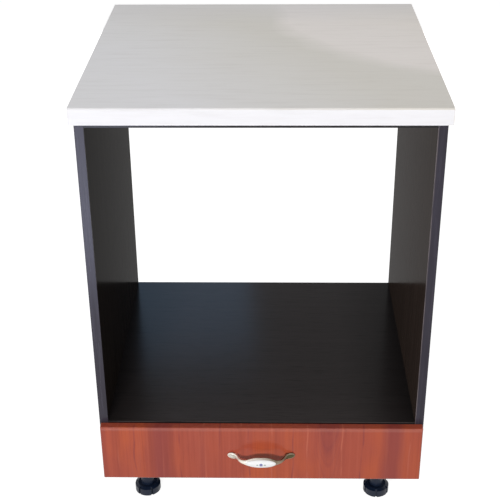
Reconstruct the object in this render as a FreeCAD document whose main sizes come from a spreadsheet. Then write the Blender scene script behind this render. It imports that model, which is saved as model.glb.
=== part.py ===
"""Oven housing cabinet: an open carcass on four screw feet, with a worktop and one shallow drawer.

Millimetres. +Z is up and the front faces -Y. The origin lies on the floor under the middle of the cabinet.
Left and right are as seen from the front. Left-hand pieces are modelled, and right-hand ones mirror them,
apart from the screw feet, which are each turned by an angle of their own.
"""

import FreeCAD, Part
import os
import re

import Sketcher

Vector = FreeCAD.Vector

# Driving sizes, one cell each
SIZES = {
    # Carcass of laminated chipboard, with plastic edge band on its front edges
    "carcass_width": 600,
    "carcass_depth": 520,
    "board_thick": 16,
    "band_thick": 1,
    "band_round": 0.6,
    "drawer_bay_height": 90,
    "oven_height": 598,
    "top_rail_depth": 90,
    # Worktop: a chipboard core, a laminate bent over its front edge, and a band on each end
    "worktop_thick": 28,
    "worktop_side_overhang": 3,
    "worktop_front_overhang": 30,
    "worktop_back_overhang": 50,
    "worktop_nose_radius": 4,
    "laminate_thick": 0.8,
    "end_band_thick": 0.8,
    # Drawer front with rounded edges
    "front_thick": 16,
    "front_side_gap": 2,
    "front_top_gap": 3,
    "front_bottom_gap": 1,
    "front_gap": 1,
    "front_round": 4,
    "front_corner_round": 1.5,
    # Drawer box
    "box_depth": 450,
    "box_top_gap": 14,
    "drawer_clear": 14,
    "hdf_thick": 3,
    # Roller runners of bent steel
    "runner_gap": 12.75,
    "runner_steel": 1.2,
    "runner_setback": 3,
    "runner_shortfall": 10,
    "channel_flange": 9.8,
    "rail_foot": 15,
    "rail_ride": 1.5,
    "rear_roller_rise": 13.5,
    "roller_radius": 7,
    "roller_width": 7.2,
    "roller_edge": 0.8,
    "roller_play": 0.2,
    "roller_side_gap": 1.7,
    "roller_inset": 14,
    "axle_radius": 2,
    "axle_clear": 0.08,
    "axle_head_radius": 3.2,
    "axle_head_thick": 0.6,
    "drawer_travel": 335,
    "stop_thick": 3,
    "stop_drop": 3,
    "runner_screw_inset": 60,
    "rail_screw_inset": 80,
    "rail_screw_rise": 14,
    "spare_hole_radius": 2.2,
    # Bow handle with an oval insert
    "handle_reach": 31.5,
    "handle_spacing": 96,
    "insert_length": 55,
    "insert_height": 17,
    "insert_crown": 4,
    "insert_seat": 1.5,
    "insert_clear": 0.1,
    "frame_rim": 2.6,
    "frame_rim_rise": 1,
    "frame_margin": 4,
    "frame_thick": 8,
    "frame_fall": 0.3,
    "shoulder_height": 9,
    "shoulder_thick": 6,
    "shoulder_fall": 1.7,
    "wing_inset": 11.5,
    "wing_height": 7.5,
    "wing_thick": 5.5,
    "wing_fall": 4.5,
    "neck_inset": 6.5,
    "neck_height": 7.5,
    "neck_thick": 5.5,
    "neck_stand_off": 14,
    "heel_inset": 2,
    "heel_height": 9.5,
    "heel_thick": 5.5,
    "heel_stand_off": 8,
    "lobe_root_reach": 3,
    "lobe_root_height": 12,
    "lobe_root_stand_off": 5,
    "lobe_reach": 7.5,
    "lobe_height": 12.5,
    "lobe_thick": 4.5,
    "lobe_stand_off": 3.5,
    "dish_reach": 7,
    "dish_length": 17,
    "dish_height": 8.5,
    "dish_depth": 1.4,
    "dish_swell": 3,
    "dish_slope": 22,
    "tip_reach": 14.5,
    "tip_round": 1.5,
    "tip_shoulder_height": 8,
    "tip_shoulder_thick": 3,
    "tip_height": 3,
    "tip_thick": 1.5,
    "tip_stand_off": 2.2,
    "post_radius": 3.8,
    "post_top": 6,
    # Screw feet
    "foot_height": 100,
    "foot_inset_side": 72,
    "foot_inset_end": 74,
    "left_foot_turn": -6,
    "right_foot_turn": 27,
    "foot_base_radius": 25,
    "foot_base_height": 16,
    "foot_base_round": 2,
    "foot_shoulder_radius": 19,
    "foot_shoulder_rise": 3,
    "foot_stem_radius": 13,
    "foot_stem_clear": 0.3,
    "foot_retract": 10,
    "foot_spare": 9,
    "stem_end_gap": 1,
    "foot_notches": 6,
    "foot_notch_width": 3.4,
    "foot_notch_depth": 4,
    "socket_wall": 3.5,
    "socket_plate_radius": 32,
    "socket_plate_thick": 4,
    "socket_screw_circle": 25,
    "socket_ribs": 4,
    "socket_rib_thick": 2.5,
    "socket_rib_drop": 22,
    "socket_rib_set_back": 2,
    # How far a cut runs out past the face that it opens
    "cut_run_out": 1,
    # Fasteners
    "screw_clear": 0.1,
    "screw_end_inset": 50,
    "rail_screw_margin": 22,
    "confirmat_length": 50,
    "confirmat_radius": 3.4,
    "confirmat_head_radius": 5,
    "confirmat_head_height": 3,
    "cap_radius": 6.5,
    "cap_thick": 1.4,
    "cap_slope": 0.8,
    "short_screw_length": 14,
    "short_screw_radius": 1.75,
    "short_screw_head_radius": 3.2,
    "short_screw_head_height": 0.5,
    "foot_screw_length": 17,
    "foot_screw_radius": 2,
    "foot_screw_head_radius": 3.6,
    "foot_screw_head_height": 2,
    "long_screw_length": 28,
    "long_screw_radius": 2,
    "long_screw_head_radius": 4,
    "long_screw_head_height": 2.4,
    "worktop_screw_inset": 120,
    "front_screw_inset": 60,
    "front_screw_margin": 14,
    "handle_screw_grip": 4.5,
    "handle_screw_radius": 2,
    "handle_screw_head_radius": 4,
    "handle_screw_head_height": 2.4,
    "box_screw_drop": 16,
    "nail_length": 18,
    "nail_radius": 0.8,
    "nail_head_radius": 2,
    "nail_head_height": 0.6,
    "nail_inset": 40,
    "nail_gaps": 3,
}

# Places and sizes that follow from the driving ones
PLACES = {
    "whole_depth": "handle_reach + front_thick + front_gap + carcass_depth + worktop_back_overhang",
    "carcass_front": "handle_reach + front_thick + front_gap - whole_depth / 2",
    "carcass_back": "carcass_front + carcass_depth",
    "board_front": "carcass_front + band_thick",
    "board_depth": "carcass_depth - band_thick",
    "side_outer": "carcass_width / 2",
    "side_inner": "side_outer - board_thick",
    "inner_width": "carcass_width - 2 * board_thick",
    "bottom_top": "foot_height + board_thick",
    "shelf_bottom": "bottom_top + drawer_bay_height",
    "shelf_top": "shelf_bottom + board_thick",
    "carcass_top": "shelf_top + oven_height",
    "carcass_height": "carcass_top - foot_height",
    "rail_bottom_face": "carcass_top - board_thick",
    "worktop_half": "side_outer + worktop_side_overhang",
    "worktop_front": "carcass_front - worktop_front_overhang",
    "worktop_depth": "worktop_front_overhang + carcass_depth + worktop_back_overhang",
    "front_back": "carcass_front - front_gap",
    "front_face": "front_back - front_thick",
    "front_bottom": "foot_height + front_bottom_gap",
    "front_height": "shelf_top - front_top_gap - front_bottom",
    "front_half": "side_outer - front_side_gap",
    "box_half": "side_inner - runner_gap",
    "box_inner_half": "box_half - board_thick",
    "rail_bottom": "bottom_top + drawer_clear",
    "hdf_bottom": "rail_bottom + runner_steel",
    "box_bottom": "hdf_bottom + hdf_thick",
    "box_height": "shelf_bottom - box_top_gap - box_bottom",
    "box_back": "front_back + box_depth",
    "runner_front": "carcass_front + runner_setback",
    "runner_length": "box_depth - runner_shortfall",
    "rear_roller_z": "rail_bottom + rear_roller_rise",
    "channel_floor": "runner_steel",
    "channel_roof": "channel_floor + 2 * (roller_radius + roller_play)",
    "channel_top": "channel_roof + runner_steel",
    "channel_bottom": "rear_roller_z - roller_radius - roller_play - runner_steel",
    "rail_roof": "channel_bottom + channel_top + rail_ride - rail_bottom",
    "rail_top": "rail_roof + runner_steel",
    "rail_tip": "runner_steel + roller_side_gap",
    "front_roller_z": "rail_bottom + rail_roof - roller_play - roller_radius",
    "front_roller_y": "runner_front + roller_inset",
    "rear_roller_y": "runner_front + runner_length - roller_inset",
    "handle_z": "front_bottom + front_height / 2",
    "insert_floor": "handle_reach - insert_crown - insert_seat",
    "bow_centre": "insert_floor + insert_seat + frame_rim_rise - frame_thick / 2",
    "post_x": "handle_spacing / 2",
    "frame_height": "insert_height + 2 * frame_rim",
    "frame_shoulder": "insert_length / 2 + frame_margin",
    "foot_x": "side_outer - foot_inset_side",
    "foot_front_y": "carcass_front + foot_inset_end",
    "foot_back_y": "carcass_back - foot_inset_end",
    "socket_bottom": "foot_base_height + foot_shoulder_rise + foot_retract + foot_spare",
    "stem_top": "foot_height - socket_plate_thick - foot_retract - stem_end_gap",
    "socket_bore": "foot_stem_radius + foot_stem_clear",
    "socket_tube": "socket_bore + socket_wall",
    "screw_front_y": "board_front + screw_end_inset",
    "screw_back_y": "carcass_back - screw_end_inset",
    "front_rail_back": "board_front + top_rail_depth",
    "rear_rail_front": "carcass_back - top_rail_depth",
    "nail_pitch": "2 * (box_inner_half - nail_inset) / nail_gaps",
}

document = FreeCAD.newDocument("oven_housing_cabinet")
nodes = []


def formula(text):
    """The text with every size and place named by its sheet, as an expression needs it."""

    def full_name(match):
        word = match.group(0)
        if word in SIZES:
            return "Sizes." + word
        return "Places." + word if word in PLACES else word

    return re.sub(r"[a-z_]+", full_name, text)


def make_sheets():
    """The driving sizes as plain numbers, and a second sheet with what follows from them."""
    for sheet_name, cells in (("Sizes", SIZES), ("Places", PLACES)):
        sheet = document.addObject("Spreadsheet::Sheet", sheet_name)
        for row, (alias, content) in enumerate(cells.items(), 1):
            sheet.set(f"A{row}", alias)
            sheet.set(f"B{row}", "=" + formula(content) if isinstance(content, str) else str(content))
            sheet.setAlias(f"B{row}", alias)
    document.recompute()


def value(text):
    """The number that a formula gives now."""
    return float(document.Sizes.evalExpression(formula(text)))


def bind(item, **formulas):
    """Ties properties of an item to formulas."""
    for name, text in formulas.items():
        item.setExpression(name, formula(text))
    return item


def place(item, x="0", y="0", z="0"):
    """Ties an item's position to formulas."""
    for axis, text in zip("xyz", (x, y, z)):
        item.setExpression(f"Placement.Base.{axis}", formula(text))
    return item


def node(item, label):
    """Registers an item as a piece of the cabinet under its own name."""
    item.Label = label
    nodes.append(item)
    return item


def outline(body, plane, corners):
    """A closed sketch of straight edges on one of the body's own planes, each corner tied to two formulas."""
    sketch = body.newObject("Sketcher::SketchObject", "outline")
    support = next(feature for feature in body.Origin.OriginFeatures if feature.Role == plane)
    sketch.AttachmentSupport = [(support, "")]
    sketch.MapMode = "FlatFace"
    points = [Vector(value(across), value(up), 0) for across, up in corners]
    count = len(points)
    for index, start in enumerate(points):
        sketch.addGeometry(Part.LineSegment(start, points[(index + 1) % count]), False)
    for index, corner in enumerate(corners):
        sketch.addConstraint(Sketcher.Constraint("Coincident", index, 2, (index + 1) % count, 1))
        for kind, own_axis, text in zip(("DistanceX", "DistanceY"), (-2, -1), corner):
            if text == "0":
                sketch.addConstraint(Sketcher.Constraint("PointOnObject", index, 1, own_axis))
                continue
            constraint = Sketcher.Constraint(kind, -1, 1, index, 1, value(text))
            number = sketch.addConstraint(constraint)
            sketch.setExpression(f"Constraints[{number}]", formula(text))
    return sketch


def pad(body, sketch, length, reverse=False):
    """Thickens a sketch into the body."""
    feature = body.newObject("PartDesign::Pad", "pad")
    feature.Profile = sketch
    feature.Reversed = reverse
    bind(feature, Length=length)
    document.recompute()
    return feature


def pocket(body, sketch, depth, reverse=False):
    """Cuts a sketch into the body, and makes sure that it took material away."""
    before = body.Shape.Volume
    feature = body.newObject("PartDesign::Pocket", "pocket")
    feature.Profile = sketch
    feature.Reversed = reverse
    bind(feature, Length=depth)
    document.recompute()
    if not body.Shape.Volume < before:
        raise RuntimeError(f"a pocket of {body.Label} cuts nothing")
    return feature


def polar(body, feature, count):
    """Repeats a feature round the body's own Z axis."""
    pattern = body.newObject("PartDesign::PolarPattern", "pattern")
    pattern.Originals = [feature]
    axis = next(item for item in body.Origin.OriginFeatures if item.Role == "Z_Axis")
    pattern.Axis = (axis, [""])
    pattern.Angle = 360
    bind(pattern, Occurrences=count)
    body.Tip = pattern
    document.recompute()
    return pattern


def turned(label, half):
    """A body turned about its own Z axis from a half outline of (radius, height) corners."""
    body = document.addObject("PartDesign::Body", label)
    sketch = outline(body, "XZ_Plane", half)
    document.recompute()
    turn = body.newObject("PartDesign::Revolution", "turn")
    turn.Profile = sketch
    turn.ReferenceAxis = (sketch, ["V_Axis"])
    turn.Angle = 360
    document.recompute()
    return body


def rectangle(width, height):
    """Corners of a rectangle that starts at the sketch's origin."""
    return [("0", "0"), (width, "0"), (width, height), ("0", height)]


def board(label, plane, width, height, thick, corner):
    """A flat board: a rectangle on one plane, thickened towards +X, +Y or +Z, with its low corner placed."""
    body = document.addObject("PartDesign::Body", label + "_blank")
    pad(body, outline(body, plane, rectangle(width, height)), thick, reverse=plane == "XZ_Plane")
    return place(body, *corner)


def edges_at(shape, test):
    """Names of the edges whose middle passes a test, for a fillet."""
    names = []
    for index, edge in enumerate(shape.Edges, 1):
        if test(edge.valueAt((edge.FirstParameter + edge.LastParameter) / 2)):
            names.append(f"Edge{index}")
    return names


def rounded(body, feature, test, radius):
    """Rounds the edges of a feature whose middle passes a test, given in the body's own frame."""
    fillet = body.newObject("PartDesign::Fillet", "round")
    fillet.Base = (feature, edges_at(feature.Shape, test))
    bind(fillet, Radius=radius)
    document.recompute()
    return fillet


def near(first, second):
    """Whether two numbers are the same place."""
    return abs(first - second) < 1e-4


def copies(label, master, spots, direction=(0, 0, -1), turn=None):
    """Separate copies of a master piece, one at each spot, with its -Z in a direction or turned about Z."""
    links = []
    for index, spot in enumerate(spots, 1):
        link = document.addObject("App::Link", f"{label}_{index}")
        link.LinkedObject = master
        link.Placement = FreeCAD.Placement(Vector(), FreeCAD.Rotation(Vector(0, 0, -1), Vector(*direction)))
        if turn:
            bind(link, **{"Placement.Rotation.Angle": turn})
        links.append(place(link, *spot))
    return together(label, links)


def together(label, items):
    """Several items as one compound of separate solids."""
    compound = document.addObject("Part::Compound", label)
    compound.Links = items
    document.recompute()
    return compound


def mirrored(label, source):
    """The right-hand twin of a left-hand item."""
    twin = document.addObject("Part::Mirroring", label)
    twin.Source = source
    twin.Normal = (1, 0, 0)
    document.recompute()
    return twin


def both_sides(label, left):
    """A left-hand item and its right-hand twin as one compound."""
    return together(label, [left, mirrored(label + "_right", left)])


def drilled(label, blank, *tools):
    """A blank with the hole tools cut out of it."""
    cut = document.addObject("Part::Cut", label)
    cut.Base = blank
    cut.Tool = tools[0] if len(tools) == 1 else together(label + "_holes", list(tools))
    document.recompute()
    return cut


def fused(label, base, tool):
    """Two shapes grown into one."""
    fuse = document.addObject("Part::Fuse", label)
    fuse.Base = base
    fuse.Tool = tool
    document.recompute()
    return fuse


class Screw:
    """A kind of screw or nail: the master of the piece itself and the master of the hole that it needs."""

    def __init__(self, kind, sunk=False, length=None):
        radius, head = f"{kind}_radius", f"{kind}_head_radius"
        rise, length = f"{kind}_head_height", length or f"{kind}_length"
        wide, end, deep = f"{radius} + screw_clear", f"-({length})", f"-({length} + screw_clear)"
        if sunk:
            piece = [("0", "0"), (head, "0"), (radius, f"-{rise}"), (radius, end), ("0", end)]
            hole = [("0", "0"), (f"{head} + screw_clear", "0"), (wide, f"-{rise}"), (wide, deep), ("0", deep)]
        else:
            piece = [("0", rise), (head, rise), (head, "0"), (radius, "0"), (radius, end), ("0", end)]
            hole = [("0", "0"), (wide, "0"), (wide, deep), ("0", deep)]
        self.piece = turned(kind, piece)
        self.hole = turned(kind + "_hole", hole)

    def set(self, label, spots, direction):
        """The screws at these spots, and the tool that drills for them."""
        screws = copies(label, self.piece, spots, direction)
        return screws, copies(label + "_drill", self.hole, spots, direction)


def carcass_fasteners():
    """Confirmat screws through each side into the bottom, the shelf and the top rails, under plastic caps."""
    confirmat = Screw("confirmat", sunk=True)
    rows = [
        ("screw_front_y", "foot_height + board_thick / 2"),
        ("screw_back_y", "foot_height + board_thick / 2"),
        ("screw_front_y", "shelf_top - board_thick / 2"),
        ("screw_back_y", "shelf_top - board_thick / 2"),
        ("board_front + rail_screw_margin", "carcass_top - board_thick / 2"),
        ("front_rail_back - rail_screw_margin", "carcass_top - board_thick / 2"),
        ("rear_rail_front + rail_screw_margin", "carcass_top - board_thick / 2"),
        ("carcass_back - rail_screw_margin", "carcass_top - board_thick / 2"),
    ]
    spots = [("-side_outer", y, z) for y, z in rows]
    left, left_drill = confirmat.set("left_confirmats", spots, (1, 0, 0))
    cap = turned("cap", [
        ("0", "0"), ("cap_radius", "0"), ("cap_radius - cap_slope", "cap_thick"), ("0", "cap_thick")])
    left_caps = copies("left_caps", cap, spots, (1, 0, 0))
    node(both_sides("carcass_screws", left), "carcass_screws")
    node(both_sides("screw_caps", left_caps), "screw_caps")
    return confirmat, both_sides("carcass_drill", left_drill)


def runner_fasteners(short_screw):
    """Low screws that hold the runner channels to the carcass sides."""
    low, high = "runner_front + runner_screw_inset", "runner_front + runner_length - runner_screw_inset"
    spots = [("runner_steel - side_inner", y, "rear_roller_z") for y in (low, f"({low} + {high}) / 2", high)]
    left, left_drill = short_screw.set("left_runner_screws", spots, (-1, 0, 0))
    node(both_sides("runner_screws", left), "runner_screws")
    return left_drill


def foot_fasteners():
    """Screws that hold the four foot sockets up against the bottom panel."""
    screw = Screw("foot_screw")
    spots = []
    for y in ("foot_front_y", "foot_back_y"):
        for across in ("-", "+"):
            for along in ("-", "+"):
                reach = "socket_screw_circle / sqrt(2)"
                z = "foot_height - socket_plate_thick"
                spots.append((f"-foot_x {across} {reach}", f"{y} {along} {reach}", z))
    left, left_drill = screw.set("left_foot_screws", spots, (0, 0, 1))
    node(both_sides("foot_screws", left), "foot_screws")
    return left_drill


def worktop_fasteners(long_screw):
    """Screws from below through both top rails into the worktop."""
    middles = ("(board_front + front_rail_back) / 2", "(rear_rail_front + carcass_back) / 2")
    spots = [("-side_inner + worktop_screw_inset", y, "rail_bottom_face") for y in middles]
    left, left_drill = long_screw.set("left_worktop_screws", spots, (0, 0, 1))
    node(both_sides("worktop_screws", left), "worktop_screws")
    return both_sides("worktop_drill", left_drill)


def make_carcass(carcass_drill, runner_drill, foot_drill, worktop_drill):
    """Side panels, bottom panel, oven shelf and top rails, each drilled for its screws."""
    left_blank = board("left_side_panel", "YZ_Plane", "board_depth", "carcass_height", "board_thick",
                       ("-side_outer", "board_front", "foot_height"))
    left = node(drilled("left_side_panel", left_blank, carcass_drill, runner_drill), "left_side_panel")
    node(mirrored("right_side_panel", left), "right_side_panel")
    foot_drills = both_sides("foot_drill", foot_drill)
    level_boards = (
        ("bottom_panel", "board_depth", "board_front", "foot_height", (foot_drills,)),
        ("oven_shelf", "board_depth", "board_front", "shelf_bottom", ()),
        ("front_top_rail", "top_rail_depth", "board_front", "rail_bottom_face", (worktop_drill,)),
        ("rear_top_rail", "top_rail_depth", "rear_rail_front", "rail_bottom_face", (worktop_drill,)),
    )
    for label, depth, y, z, more_drills in level_boards:
        blank = board(label, "XY_Plane", "inner_width", depth, "board_thick", ("-side_inner", y, z))
        node(drilled(label, blank, carcass_drill, *more_drills), label)


def edge_band(label, plane, width, height, corner):
    """A strip of plastic band on a board's front edge, its two long front corners eased."""
    body = document.addObject("PartDesign::Body", label)
    strip = pad(body, outline(body, plane, rectangle(width, height)), "band_thick", reverse=True)
    upright = value(height) > value(width)
    far = value(width) if upright else value(height)

    def long_front(point):
        across = point.x if upright else point.z
        return near(point.y, 0) and (near(across, 0) or near(across, far))

    rounded(body, strip, long_front, "band_round")
    return node(place(body, *corner), label)


def make_edge_bands():
    """The bands on the front edges of the carcass boards."""
    left = edge_band("left_side_edge_band", "XZ_Plane", "board_thick", "carcass_height",
                     ("-side_outer", "carcass_front", "foot_height"))
    node(mirrored("right_side_edge_band", left), "right_side_edge_band")
    for label, z in (("bottom_edge_band", "foot_height"), ("shelf_edge_band", "shelf_bottom"),
                     ("front_rail_edge_band", "rail_bottom_face")):
        edge_band(label, "XZ_Plane", "inner_width", "board_thick", ("-side_inner", "carcass_front", z))


def make_worktop(worktop_drill):
    """The worktop's core, the laminate bent over its front edge, and the bands on its two ends."""
    core_half = "(worktop_half - end_band_thick)"
    core_thick, core_depth = "worktop_thick - laminate_thick", "worktop_depth - laminate_thick"
    corner = (f"-{core_half}", "worktop_front", "carcass_top")

    core = document.addObject("PartDesign::Body", "worktop_core_blank")
    core_outline = [("laminate_thick", "0"), ("worktop_depth", "0"), ("worktop_depth", core_thick),
                    ("laminate_thick", core_thick)]
    slab = pad(core, outline(core, "YZ_Plane", core_outline), f"2 * {core_half}")
    front, top = value("laminate_thick"), value(core_thick)
    rounded(core, slab, lambda point: near(point.y, front) and near(point.z, top),
            "worktop_nose_radius - laminate_thick")
    node(drilled("worktop_core", place(core, *corner), worktop_drill), "worktop_core")

    skin = document.addObject("PartDesign::Body", "worktop_laminate")
    skin_outline = [("0", "0"), ("laminate_thick", "0"), ("laminate_thick", core_thick),
                    ("worktop_depth", core_thick), ("worktop_depth", "worktop_thick"), ("0", "worktop_thick")]
    sheet = pad(skin, outline(skin, "YZ_Plane", skin_outline), f"2 * {core_half}")
    inner = rounded(skin, sheet, lambda point: near(point.y, front) and near(point.z, top),
                    "worktop_nose_radius - laminate_thick")
    full = value("worktop_thick")
    rounded(skin, inner, lambda point: near(point.y, 0) and near(point.z, full), "worktop_nose_radius")
    node(place(skin, *corner), "worktop_laminate")

    band = document.addObject("PartDesign::Body", "worktop_left_end_band")
    end_outline = rectangle("worktop_depth", "worktop_thick")
    strip = pad(band, outline(band, "YZ_Plane", end_outline), "end_band_thick")
    rounded(band, strip, lambda point: near(point.y, 0) and near(point.z, full), "worktop_nose_radius")
    node(place(band, "-worktop_half", "worktop_front", "carcass_top"), "worktop_left_end_band")
    node(mirrored("worktop_right_end_band", band), "worktop_right_end_band")


def spare_holes(label, x, z, inset, direction):
    """Tool for the unused screw holes in a runner's steel, half-way between its screws."""
    wide, deep = "spare_hole_radius", "-runner_steel"
    hole = turned(label + "_tool", [("0", "0"), (wide, "0"), (wide, deep), ("0", deep)])
    low, high = f"runner_front + {inset}", f"runner_front + runner_length - {inset}"
    ys = (f"(3 * ({low}) + {high}) / 4", f"({low} + 3 * ({high})) / 4")
    return copies(label, hole, [(x, y, z) for y in ys], direction)


def make_runner_channels(runner_drill, axle_drill):
    """The fixed half of each runner: a channel with a stop, its roof cut back in front for its roller."""
    body = document.addObject("PartDesign::Body", "channel_blank")
    profile = [("0", "0"), ("channel_flange", "0"), ("channel_flange", "channel_floor"),
               ("runner_steel", "channel_floor"), ("runner_steel", "channel_roof"),
               ("channel_flange", "channel_roof"), ("channel_flange", "channel_top"), ("0", "channel_top")]
    pad(body, outline(body, "XZ_Plane", profile), "runner_length", reverse=True)
    low, high, far = "channel_roof - roller_play", "channel_top + cut_run_out", "channel_flange + cut_run_out"
    roof_cut = [("runner_steel", low), (far, low), (far, high), ("runner_steel", high)]
    pocket(body, outline(body, "XZ_Plane", roof_cut), "2 * roller_inset")
    place(body, "-side_inner", "runner_front", "channel_bottom")
    stop = document.addObject("Part::Box", "runner_stop")
    bind(stop, Length="channel_flange - runner_steel", Width="stop_thick", Height="stop_drop")
    place(stop, "runner_steel - side_inner", "rear_roller_y - drawer_travel - roller_radius - stop_thick",
          "channel_bottom + channel_roof - stop_drop")
    blank = fused("channel_with_stop", body, stop)
    spare = spare_holes("channel_spare", "runner_steel - side_inner", "rear_roller_z", "runner_screw_inset",
                        (-1, 0, 0))
    left = node(drilled("left_runner_channel", blank, runner_drill, axle_drill, spare), "left_runner_channel")
    node(mirrored("right_runner_channel", left), "right_runner_channel")


def make_drawer_rails(rail_drill, axle_drill):
    """The moving half of each runner: a rail under the drawer box whose lip rides on the front roller."""
    body = document.addObject("PartDesign::Body", "rail_blank")
    web = "runner_gap - runner_steel"
    profile = [(web, "0"), ("runner_gap + rail_foot", "0"), ("runner_gap + rail_foot", "runner_steel"),
               ("runner_gap", "runner_steel"), ("runner_gap", "rail_top"), ("rail_tip", "rail_top"),
               ("rail_tip", "rail_roof"), (web, "rail_roof")]
    pad(body, outline(body, "XZ_Plane", profile), "runner_length", reverse=True)
    place(body, "-side_inner", "runner_front", "rail_bottom")
    screw_z = "rail_bottom + rail_screw_rise"
    spare = spare_holes("rail_spare", f"{web} - side_inner", screw_z, "rail_screw_inset", (1, 0, 0))
    left = node(drilled("left_drawer_rail", body, rail_drill, axle_drill, spare), "left_drawer_rail")
    node(mirrored("right_drawer_rail", left), "right_drawer_rail")


def axle(label, web_thick, shank):
    """A rivet through a runner's web that carries a roller, and the hole that it needs in the web."""
    thin, head = "axle_radius", "axle_head_radius"
    end, top = f"{web_thick} + {shank}", f"{web_thick} + {shank} + axle_head_thick"
    piece = turned(label, [("0", "0"), (thin, "0"), (thin, end), (head, end), (head, top), ("0", top)])
    wide = f"{thin} + axle_clear"
    return piece, turned(label + "_hole", [("0", "0"), (wide, "0"), (wide, web_thick), ("0", web_thick)])


def make_rollers():
    """Nylon rollers on riveted axles: one in front on each channel, one behind on each drawer rail."""
    bore, rim = "axle_radius + axle_clear", "roller_radius"
    roller = turned("roller", [(bore, "0"), (f"{rim} - roller_edge", "0"), (rim, "roller_edge"),
                               (rim, "roller_width - roller_edge"), (f"{rim} - roller_edge", "roller_width"),
                               (bore, "roller_width")])
    slack = "axle_clear"
    front_spot = ("-side_inner", "front_roller_y", "front_roller_z")
    rear_spot = ("runner_gap - side_inner", "rear_roller_y", "rear_roller_z")
    front_axle, front_hole = axle("front_axle", "runner_steel", f"roller_side_gap + roller_width + {slack}")
    rear_shank = "runner_gap - 2 * runner_steel - roller_side_gap - axle_head_thick"
    rear_axle, rear_hole = axle("rear_axle", "runner_steel", rear_shank)
    inward, outward = (-1, 0, 0), (1, 0, 0)
    node(both_sides("front_roller_axles", copies("left_front_axle", front_axle, [front_spot], inward)),
         "front_roller_axles")
    node(both_sides("rear_roller_axles", copies("left_rear_axle", rear_axle, [rear_spot], outward)),
         "rear_roller_axles")
    front_x = "runner_steel + roller_side_gap - side_inner"
    rear_x = f"runner_steel + roller_side_gap + axle_head_thick + {slack} - side_inner"
    for end, x, y, z in (("front", front_x, "front_roller_y", "front_roller_z"),
                         ("rear", rear_x, "rear_roller_y", "rear_roller_z")):
        left = node(copies(f"left_{end}_roller", roller, [(x, y, z)], inward), f"left_{end}_roller")
        node(mirrored(f"right_{end}_roller", left), f"right_{end}_roller")
    return (copies("front_axle_drill", front_hole, [front_spot], inward),
            copies("rear_axle_drill", rear_hole, [rear_spot], outward))


def make_drawer(confirmat, short_screw, long_screw, rear_axle_drill):
    """The drawer: a screwed box on a hardboard bottom, its two rails, and the rounded front."""
    joint_ys = ("front_back + board_thick / 2", "box_back - board_thick / 2")
    joint_z = "box_bottom + box_height - box_screw_drop"
    joint_spots = [("-box_half", y, joint_z) for y in joint_ys]
    left_joints, joint_drill = confirmat.set("left_box_confirmats", joint_spots, (1, 0, 0))
    node(both_sides("drawer_box_screws", left_joints), "drawer_box_screws")
    joint_drills = both_sides("box_joint_drill", joint_drill)

    low, high = "runner_front + rail_screw_inset", "runner_front + runner_length - rail_screw_inset"
    rail_x, rail_z = "runner_gap - runner_steel - side_inner", "rail_bottom + rail_screw_rise"
    rail_spots = [(rail_x, y, rail_z) for y in (low, f"({low} + {high}) / 2", high)]
    left_rail_screws, rail_drill = short_screw.set("left_rail_screws", rail_spots, (1, 0, 0))
    node(both_sides("rail_screws", left_rail_screws), "rail_screws")

    inner_face = "front_back + board_thick"
    front_zs = ("box_bottom + front_screw_margin", "box_bottom + box_height - front_screw_margin")
    front_spots = [("-box_inner_half + front_screw_inset", inner_face, z) for z in front_zs]
    left_front_screws, front_drill = long_screw.set("left_front_screws", front_spots, (0, -1, 0))
    node(both_sides("front_screws", left_front_screws), "front_screws")

    handle_screw = Screw("handle_screw", length="board_thick + front_thick + handle_screw_grip")
    handle_spots = [("-post_x", inner_face, "handle_z")]
    left_handle_screw, handle_drill = handle_screw.set("left_handle_screw", handle_spots, (0, -1, 0))
    node(both_sides("handle_screws", left_handle_screw), "handle_screws")
    handle_drills = both_sides("handle_drill", handle_drill)

    nail = Screw("nail")
    left_count = int((value("nail_gaps") + 1) / 2)
    nail_xs = [f"nail_inset - box_inner_half + {index} * nail_pitch" for index in range(left_count)]
    nail_spots = [(x, y, "hdf_bottom") for x in nail_xs for y in joint_ys]
    left_nails, nail_drill = nail.set("left_nails", nail_spots, (0, 0, 1))
    node(both_sides("drawer_bottom_nails", left_nails), "drawer_bottom_nails")
    nail_drills = both_sides("nail_drill", nail_drill)

    left_blank = board("drawer_left_side", "YZ_Plane", "box_depth", "box_height", "board_thick",
                       ("-box_half", "front_back", "box_bottom"))
    left = node(drilled("drawer_left_side", left_blank, joint_drill, rail_drill), "drawer_left_side")
    node(mirrored("drawer_right_side", left), "drawer_right_side")
    front_drills = both_sides("front_drill", front_drill)
    for label, y, drills in (("drawer_box_front", "front_back", (front_drills, handle_drills)),
                             ("drawer_box_back", "box_back - board_thick", ())):
        blank = board(label, "XZ_Plane", "2 * box_inner_half", "box_height", "board_thick",
                      ("-box_inner_half", y, "box_bottom"))
        node(drilled(label, blank, joint_drills, nail_drills, *drills), label)
    bottom_blank = board("drawer_bottom", "XY_Plane", "2 * box_half", "box_depth", "hdf_thick",
                         ("-box_half", "front_back", "hdf_bottom"))
    node(drilled("drawer_bottom", bottom_blank, nail_drills), "drawer_bottom")

    front = document.addObject("PartDesign::Body", "drawer_front_blank")
    slab = pad(front, outline(front, "XZ_Plane", rectangle("2 * front_half", "front_height")), "front_thick",
               reverse=True)
    wide, tall = value("2 * front_half"), value("front_height")

    def corner_edge(point):
        return (near(point.x, 0) or near(point.x, wide)) and (near(point.z, 0) or near(point.z, tall))

    eased = rounded(front, slab, corner_edge, "front_corner_round")
    rounded(front, eased, lambda point: near(point.y, 0), "front_round")
    place(front, "-front_half", "front_face", "front_bottom")
    node(drilled("drawer_front", front, front_drills, handle_drills), "drawer_front")
    make_drawer_rails(rail_drill, rear_axle_drill)
    make_handle(handle_drills)


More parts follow.
